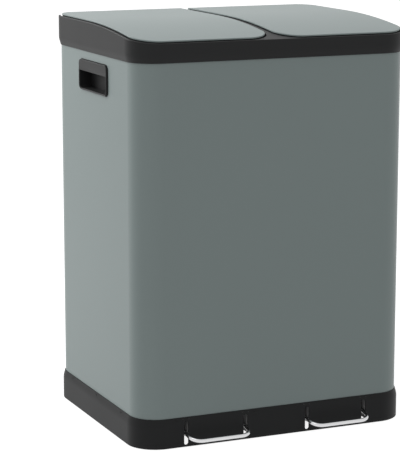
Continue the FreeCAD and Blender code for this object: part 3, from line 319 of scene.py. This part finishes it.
class Shape:
    """A new piece's mesh while bmesh operators shape it; lengths are in metres."""

    def __init__(self) -> None:
        """Starts empty."""
        self.mesh = bmesh.new()

    def block(self, low: Vector, high: Vector) -> None:
        """Adds a box.

        Args:
            low: Its lowest corner.
            high: Its highest corner.
        """
        made = bmesh.ops.create_cube(self.mesh, size=1.0)["verts"]
        bmesh.ops.scale(self.mesh, vec=high - low, verts=made)
        bmesh.ops.translate(self.mesh, vec=(low + high) / 2.0, verts=made)

    def rounded_plate(self, centre: Vector, length: float, height: float, radius: float,
                      segments: int = 8) -> bmesh.types.BMFace:
        """Adds an upright face that looks along X, with rounded corners.

        Args:
            centre: Its middle.
            length: Its size along Y.
            height: Its size along Z.
            radius: Radius of its corners.
            segments: Edges to a corner.

        Returns:
            The face.
        """
        made = bmesh.ops.create_grid(self.mesh, x_segments=1, y_segments=1, size=0.5)["verts"]
        bmesh.ops.rotate(self.mesh, verts=made, matrix=Euler((math.pi / 2.0, 0.0, -math.pi / 2.0)).to_matrix())
        bmesh.ops.scale(self.mesh, vec=(1.0, length, height), verts=made)
        bmesh.ops.translate(self.mesh, vec=centre, verts=made)
        bmesh.ops.bevel(self.mesh, geom=made, offset=radius, segments=segments, profile=0.5,
                        affect="VERTICES", material=-1)
        return self.mesh.faces[:][-1]

    def pulled(self, face: bmesh.types.BMFace, move: Sequence[float]) -> bmesh.types.BMFace:
        """Extrudes a face, and takes it away where it would be left inside.

        Args:
            face: The face.
            move: How far its copy goes.

        Returns:
            The copy.
        """
        made = bmesh.ops.extrude_face_region(self.mesh, geom=[face])["geom"]
        copy = next(item for item in made if isinstance(item, bmesh.types.BMFace))
        bmesh.ops.translate(self.mesh, vec=move, verts=copy.verts[:])
        if all(len(edge.link_faces) > 2 for edge in face.edges):
            bmesh.ops.delete(self.mesh, geom=[face], context="FACES_ONLY")
        return copy

    def stretched(self, face: bmesh.types.BMFace, factors: Sequence[float]) -> None:
        """Scales a face about its middle.

        Args:
            face: The face.
            factors: The factors along the axes.
        """
        middle = face.calc_center_median()
        bmesh.ops.translate(self.mesh, vec=-middle, verts=face.verts[:])
        bmesh.ops.scale(self.mesh, vec=factors, verts=face.verts[:])
        bmesh.ops.translate(self.mesh, vec=middle, verts=face.verts[:])

    def rounded(self, edges: Iterable[bmesh.types.BMEdge], radius: float, segments: int = 3) -> None:
        """Rounds edges.

        Args:
            edges: The edges.
            radius: The width of the rounding.
            segments: Its faces across.
        """
        bmesh.ops.bevel(self.mesh, geom=list(edges), offset=radius, segments=segments, profile=0.5,
                        affect="EDGES", material=-1)

    def finished(self, name: str, flip: bool = False, crease: float = 35.0) -> bpy.types.Object:
        """Ends the shaping.

        Args:
            name: The piece's name.
            flip: Whether it is mirrored to the other side.
            crease: The angle past which an edge stays sharp, degrees.

        Returns:
            The piece, at the origin.
        """
        if flip:
            bmesh.ops.scale(self.mesh, vec=(-1.0, 1.0, 1.0), verts=self.mesh.verts[:])
        bmesh.ops.remove_doubles(self.mesh, verts=self.mesh.verts[:], dist=TINY / 10.0)
        bmesh.ops.recalc_face_normals(self.mesh, faces=self.mesh.faces[:])
        for face in self.mesh.faces:
            face.smooth = True
        for edge in self.mesh.edges:
            edge.smooth = edge.calc_face_angle(0.0) < math.radians(crease)
        data = bpy.data.meshes.new(name)
        self.mesh.to_mesh(data)
        self.mesh.free()
        piece = bpy.data.objects.new(name, data)
        bpy.context.scene.collection.objects.link(piece)
        return piece


# ---------------------------------------------------------------------------- the bin

@dataclass
class Assembly:
    """A group of pieces of the bin.

    Attributes:
        dresser: Gives the pieces their finishes.
        nodes: CAD nodes of the group and their finishes; "*" in a name stands for each side.
    """

    dresser: Dresser
    nodes: dict[str, Finish] = field(default_factory=dict)

    def names(self) -> Iterable[tuple[str, Finish]]:
        """The CAD nodes' full names, each with its finish."""
        for name, finish in self.nodes.items():
            for word in ([side.word for side in Side] if "*" in name else [""]):
                yield name.replace("*", word), finish

    def fit(self, piece: bpy.types.Object, finish: Finish, body: str, slot: str, *replaced: str) -> None:
        """Seats a new piece on its body.

        Args:
            piece: The new piece.
            finish: Its finish.
            body: The CAD body that it rides on.
            slot: The record's material slot that it belongs to; not used.
            replaced: CAD nodes that it stands for.
        """
        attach(piece, body)
        if replaced:
            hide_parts(*replaced)
        self.dresser.dress(piece, finish)
        log.info("%s: %s, new", piece.name, finish.name)

    def build(self) -> None:
        """Dresses the group's CAD nodes, and reports each."""
        for name, finish in self.names():
            self.dresser.dress(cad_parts[name], finish)
            log.info("%s: %s", name, finish.name)


@dataclass
class Casing(Assembly):
    """Base, feet, steel body and collar.

    Attributes:
        slots: Middles of the pedal slots, along X.
        slot_half: Half a slot's width, with the play beside it.
        cheek_wall: Thickness of the cheeks behind the slots.
        cheek_reach: Where the cheeks start and end, behind the base's front.
        cheek_span: Their lower and upper edges above the floor.
    """

    nodes: dict[str, Finish] = field(default_factory=lambda: {
        # The base's finish is a darker copy of the collar's moulding: painted shade against the floor's bounced
        # light.
        "base": SHADED_BASE, "feet": RUBBER, "body_shell": ENAMEL, "collar": MOULDED})
    slots: tuple[float, ...] = (-0.15515, -0.05385, 0.05385, 0.15515)
    slot_half: float = 0.004
    cheek_wall: float = 0.002
    cheek_reach: tuple[float, float] = (0.002, 0.026)
    cheek_span: tuple[float, float] = (0.014, 0.045)

    def slot_cheeks(self) -> bpy.types.Object:
        """The upright cheeks behind the base's front wall, one on each side of every pedal slot."""
        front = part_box("base")[0].y
        shape = Shape()
        for middle in self.slots:
            for start in (middle + self.slot_half, middle - self.slot_half - self.cheek_wall):
                shape.block(Vector((start, front + self.cheek_reach[0], self.cheek_span[0])),
                            Vector((start + self.cheek_wall, front + self.cheek_reach[1], self.cheek_span[1])))
        return shape.finished("slot_cheeks")

    def build(self) -> None:
        """Dresses the casing, and adds the cheeks."""
        super().build()
        # The cheeks' pale grey is painted light inside the slots.
        self.fit(self.slot_cheeks(), PAINTED_LIT_CHEEK, "casing", "moulded_casing")


@dataclass
class Grips(Assembly):
    """The hand grips in the body's sides: a closed plate above and a finger box below it.

    Attributes:
        overlap: How far the flange reaches past the grip's outline, behind the sheet.
        proud: How far the grip stands out from the plain one.
        flange_wall: Thickness of the flange.
        flange_depth: Where the flange starts, behind the plain grip's face.
        radius: Corner radius of the grip's outline.
        rim: Width of the rim round the mouth.
        plate: Height of the closed plate, the rim above it included.
        plate_wall: Its thickness.
        depth: Depth of the finger box.
        wall: Its walls.
        rounding: Rounding of the outer edges and of the mouth's.
    """

    overlap: float = 0.006
    proud: float = 0.0012
    flange_wall: float = 0.002
    flange_depth: float = 0.0027
    radius: float = 0.008
    rim: float = 0.0022
    plate: float = 0.0175
    plate_wall: float = 0.003
    depth: float = 0.021
    wall: float = 0.0025
    rounding: float = 0.0008

    def body(self, shape: Shape, low: Vector, high: Vector) -> bmesh.types.BMFace:
        """The grip's closed body and its flange.

        Args:
            shape: The shape to fill.
            low: The plain grip's lowest corner.
            high: Its highest corner.

        Returns:
            The outer face, on which the mouth is cut.
        """
        length, height = high.y - low.y - 2.0 * self.overlap, high.z - low.z - 2.0 * self.overlap
        face = low.x - self.proud
        back = face + self.depth + self.wall
        flange = low.x + self.flange_depth + self.flange_wall
        wider = (1.0, (length + 2.0 * self.overlap) / length, (height + 2.0 * self.overlap) / height)
        middle = Vector((back, (low.y + high.y) / 2.0, (low.z + high.z) / 2.0))
        end = shape.rounded_plate(middle, length, height, self.radius)
        end = shape.pulled(end, (flange - back, 0.0, 0.0))
        end = shape.pulled(end, (0.0, 0.0, 0.0))
        shape.stretched(end, wider)
        end = shape.pulled(end, (-self.flange_wall, 0.0, 0.0))
        end = shape.pulled(end, (0.0, 0.0, 0.0))
        shape.stretched(end, [1.0 / factor for factor in wider])
        return shape.pulled(end, (face - flange + self.flange_wall, 0.0, 0.0))

    def mouth(self, shape: Shape, end: bmesh.types.BMFace, brow: float) -> None:
        """Sinks the mouth and the finger box behind the plate.

        Args:
            shape: The shape.
            end: The grip's outer face.
            brow: Height of the plate's lower edge.
        """
        face = end.calc_center_median().x
        bmesh.ops.inset_region(shape.mesh, faces=[end], thickness=self.rim, use_even_offset=True)
        bmesh.ops.bisect_plane(shape.mesh, geom=[end, *end.edges, *end.verts], plane_co=(0.0, 0.0, brow),
                               plane_no=(0.0, 0.0, 1.0))
        # The rim's faces have four or five corners; the mouth and the plate above it have many more.
        halves = [item for item in shape.mesh.faces
                  if abs(item.calc_center_median().x - face) < TINY and len(item.verts) > 6]
        mouth = min(halves, key=lambda item: item.calc_center_median().z)
        inner = shape.pulled(mouth, (self.plate_wall, 0.0, 0.0))
        deep = shape.pulled(inner, (self.depth - self.plate_wall, 0.0, 0.0))
        ceiling = next(item for edge in deep.edges for item in edge.link_faces
                       if item is not deep and item.calc_center_median().z > brow - TINY)
        shape.pulled(ceiling, (0.0, 0.0, self.plate - self.rim - self.wall / 2.0))
        sharp = math.radians(60.0)
        shape.rounded([edge for edge in shape.mesh.edges if edge.calc_face_angle(0.0) > sharp
                       and all(abs(spot.co.x - face) < TINY for spot in edge.verts)], self.rounding)

    def grip(self, side: Side) -> bpy.types.Object:
        """One grip, made on the left and mirrored for the right.

        Args:
            side: The side that it is for.

        Returns:
            The piece.
        """
        low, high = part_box(f"handle_{Side.LEFT.word}")
        shape = Shape()
        end = self.body(shape, low, high)
        self.mouth(shape, end, high.z - self.overlap - self.plate)
        return shape.finished(f"grip_{side.word}", flip=side is Side.RIGHT)

    def build(self) -> None:
        """Adds both grips in place of the plain ones."""
        for side in Side:
            self.fit(self.grip(side), MOULDED, "casing", "moulded_casing", f"handle_{side.word}")


@dataclass
class Lids(Assembly):
    """The two lids with their hinge and lifting pins."""

    nodes: dict[str, Finish] = field(default_factory=lambda: {
        # The lid frames' darker moulding is painted shade in the gaps round the lids.
        "lid_panel_*": LID_ENAMEL, "lid_frame_*": SHADED_LID_FRAME, "hinge_pins_*": ZINC, "lift_pin_*": ZINC})


@dataclass
class Pedals(Assembly):
    """The wire pedals, their levers and the push rods behind the buckets."""

    nodes: dict[str, Finish] = field(default_factory=lambda: {
        "pedal_*": CHROME, "lever_*": FILLED, "lever_pin_*": ZINC, "axle_*": ZINC, "axle_clips": ZINC,
        "push_rod_*": ZINC, "rod_guide_*": FILLED, "guide_screws": ZINC})


@dataclass
class Buckets(Assembly):
    """The two lift-out buckets."""

    nodes: dict[str, Finish] = field(default_factory=lambda: {"bucket_*": BUCKET})


# ---------------------------------------------------------------------------- the studio

@dataclass(frozen=True)
class Lamp:
    """A square soft lamp.

    Attributes:
        name: Its name.
        place: Where it hangs.
        aim: What it points at.
        size: Its side.
        power: Its power in watts.
    """

    name: str
    place: Place
    aim: Place
    size: float
    power: float

    def hang(self) -> None:
        """Adds the lamp to the scene."""
        data = bpy.data.lights.new(self.name, "AREA")
        data.shape, data.size, data.energy = "SQUARE", self.size, self.power
        lamp = bpy.data.objects.new(self.name, data)
        bpy.context.scene.collection.objects.link(lamp)
        lamp.location = self.place
        lamp.rotation_euler = (Vector(self.aim) - Vector(self.place)).to_track_quat("-Z", "Y").to_euler()


@dataclass
class Studio:
    """Floor, surrounding light, lamps and camera.

    Attributes:
        floor_radius: Radius of the floor.
        floor_segments: Edges of its rim.
        floor_colour: Colour of the floor in its own light.
        floor_glow: What the eye and mirrors see of the floor besides its lit colour.
        sky_level: Light from all round.
        lamps: The soft lamps.
        camera_place: Where the camera stands.
        camera_yaw: Its turn to the right of +Y, degrees.
        camera_pitch: How far it looks down, degrees.
        focal_pixels: Focal length in pixels of the photograph's frame.
        frame_pixels: The long side of that frame.
        sensor: Sensor width, millimetres.
        clip: The nearest and farthest that it sees.
    """

    floor_radius: float = 40.0
    floor_segments: int = 96
    floor_colour: float = 0.45
    floor_glow: float = 0.88
    sky_level: float = 0.53
    lamps: tuple[Lamp, ...] = (
        Lamp("side_lamp", (-1.15, 1.3, 1.35), (-0.2, 0.1, 0.5), 0.8, 16.5),
        Lamp("overhead_lamp", (-0.8, -0.3, 2.0), (0.0, 0.0, 0.6), 1.0, 4.0))
    camera_place: Place = (-1.303, -2.857, 0.913)
    camera_yaw: float = 23.59
    camera_pitch: float = 11.03
    focal_pixels: float = 1957.0
    frame_pixels: float = 459.0
    sensor: float = 36.0
    clip: tuple[float, float] = (0.05, 200.0)

    def seen(self, nodes: NodeBook) -> Term:
        """1 where the eye, a mirror or a glass looks, and 0 where a surface only gathers light."""
        rays = [nodes.add("ShaderNodeLightPath", output=name)
                for name in ("Is Camera Ray", "Is Glossy Ray", "Is Transmission Ray")]
        total = rays[0] + rays[1] + rays[2]
        return nodes.add("ShaderNodeMath", {"operation": "MINIMUM"}, {0: total, 1: 1.0})

    def floor(self) -> None:
        """A plain pale floor that keeps the bin's shadow."""
        mesh = bpy.data.meshes.new("floor")
        shape = bmesh.new()
        bmesh.ops.create_circle(shape, cap_ends=True, segments=self.floor_segments, radius=self.floor_radius)
        shape.to_mesh(mesh)
        shape.free()
        piece = bpy.data.objects.new("floor", mesh)
        bpy.context.scene.collection.objects.link(piece)
        material = bpy.data.materials.new("pale_floor")
        material.use_nodes = True
        nodes = NodeBook(material.node_tree)
        matt = nodes.add("ShaderNodeBsdfDiffuse", inputs={"Color": (*(self.floor_colour,) * 3, 1.0)})
        glow = nodes.add("ShaderNodeEmission", inputs={
            "Color": WHITE, "Strength": self.seen(nodes) * self.floor_glow})
        both = nodes.add("ShaderNodeAddShader", inputs={0: matt, 1: glow})
        nodes.add("ShaderNodeOutputMaterial", inputs={"Surface": both})
        mesh.materials.append(material)

    def surroundings(self) -> None:
        """Even light from all round, white to the eye."""
        world = bpy.data.worlds.new("plain_studio")
        world.use_nodes = True
        bpy.context.scene.world = world
        nodes = NodeBook(world.node_tree)
        strength = self.sky_level + self.seen(nodes) * (1.0 - self.sky_level)
        light = nodes.add("ShaderNodeBackground", inputs={"Color": WHITE, "Strength": strength})
        nodes.add("ShaderNodeOutputWorld", inputs={"Surface": light})

    def camera(self) -> None:
        """The camera at the photograph's viewing angle."""
        data = bpy.data.cameras.new("camera")
        data.sensor_width = self.sensor
        data.lens = self.focal_pixels * self.sensor / self.frame_pixels
        data.clip_start, data.clip_end = self.clip
        camera = bpy.data.objects.new("camera", data)
        bpy.context.scene.collection.objects.link(camera)
        camera.location = self.camera_place
        camera.rotation_euler = Euler((math.radians(90.0 - self.camera_pitch), 0.0,
                                       -math.radians(self.camera_yaw)), "XYZ")
        bpy.context.scene.camera = camera

    def build(self) -> None:
        """Sets up the whole studio."""
        bpy.context.scene.view_settings.view_transform = "Standard"
        self.floor()
        self.surroundings()
        for lamp in self.lamps:
            lamp.hang()
        self.camera()
        log.info("studio: floor, sky, lamps and camera")


def main() -> None:
    """Builds the bin's looks and its studio."""
    logging.basicConfig(level=logging.INFO, format="%(name)s: %(message)s")
    dresser = Dresser()
    for assembly in (Casing, Grips, Lids, Pedals, Buckets):
        assembly(dresser).build()
    Studio().build()


if __name__ == "__main__":
    main()
